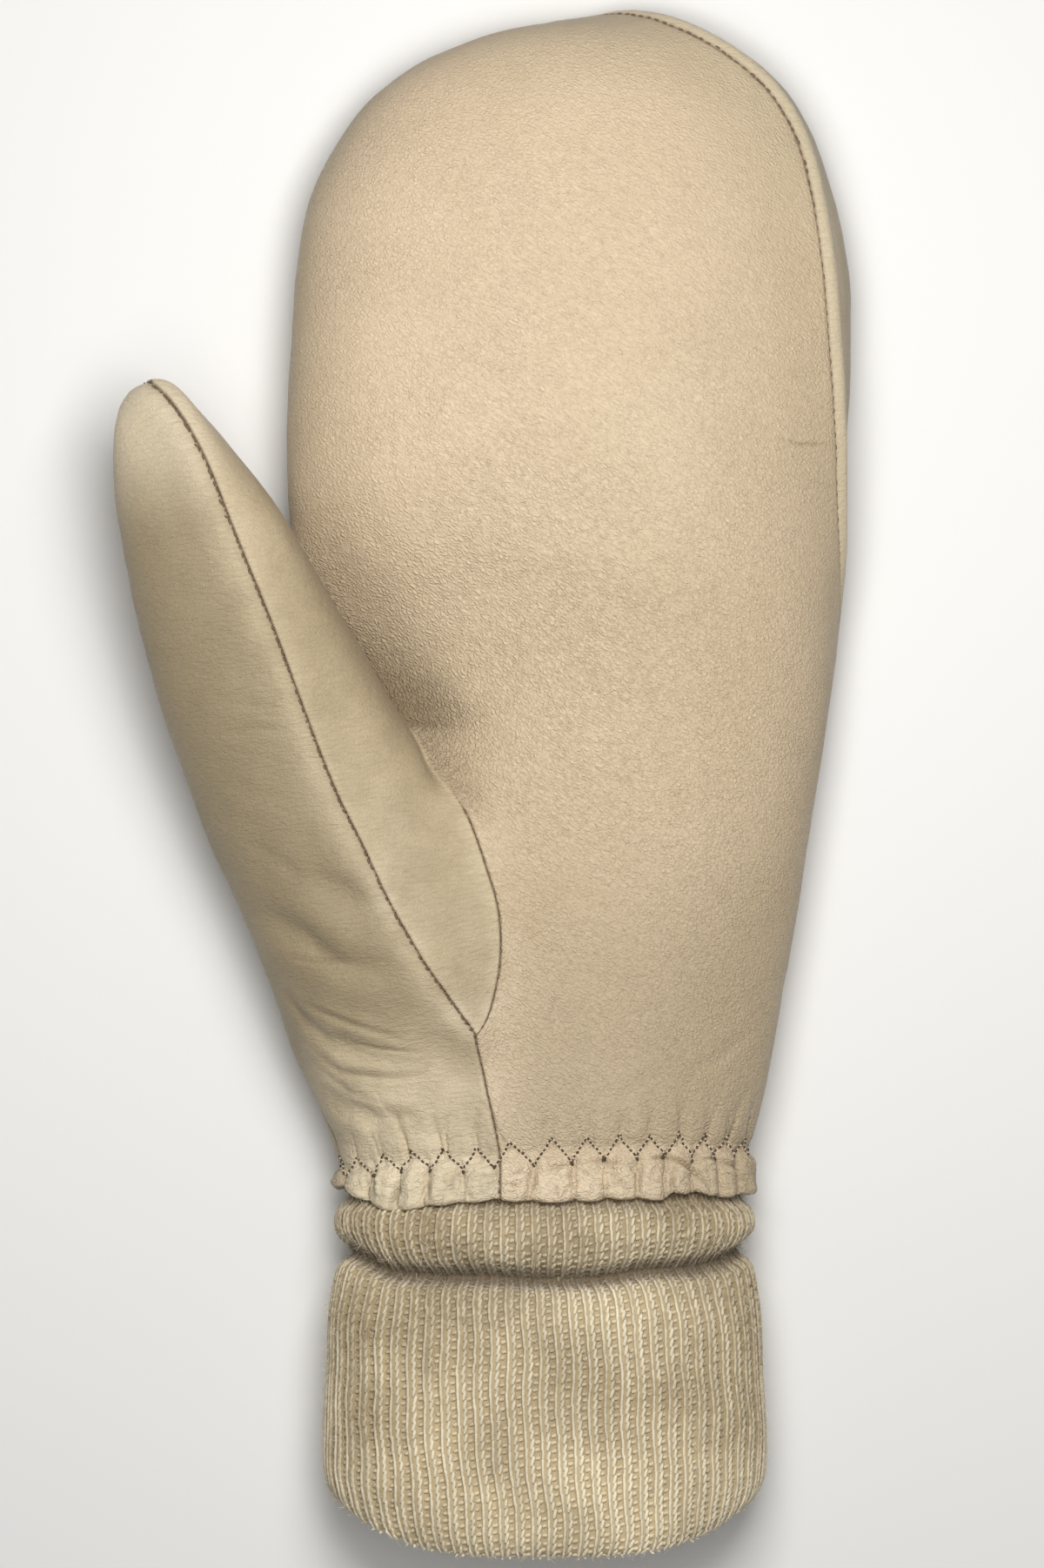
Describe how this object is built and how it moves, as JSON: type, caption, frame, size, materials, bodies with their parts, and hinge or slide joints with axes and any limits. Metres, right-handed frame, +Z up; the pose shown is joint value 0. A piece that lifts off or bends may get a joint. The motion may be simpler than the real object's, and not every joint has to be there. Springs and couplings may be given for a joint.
{
  "type": "leather mitten with rib-knit cuff",
  "caption": "Left-hand leather mitten lying palm up, with a seamed thumb, a gathered wrist hem and a folded rib-knit cuff open at the wrist.",
  "frame": {"origin": "middle of the mitten's footprint, on the surface that it lies on", "axes": "+Z up from the surface, out of the palm; +Y from the cuff to the fingertips; +X to the little-finger side"},
  "size_m": [0.1434, 0.2996, 0.0479],
  "materials": {
    "palm_leather": "pebbled grain, matt",
    "smooth_leather": "fine grain, matt",
    "knit": "soft ribbed wool knit"
  },
  "bodies": {
    "root": {"palm_panel": "palm_leather", "thumb_panel": "smooth_leather", "back_panel": "smooth_leather", "knit_cuff": "knit"}
  },
  "joints": []
}
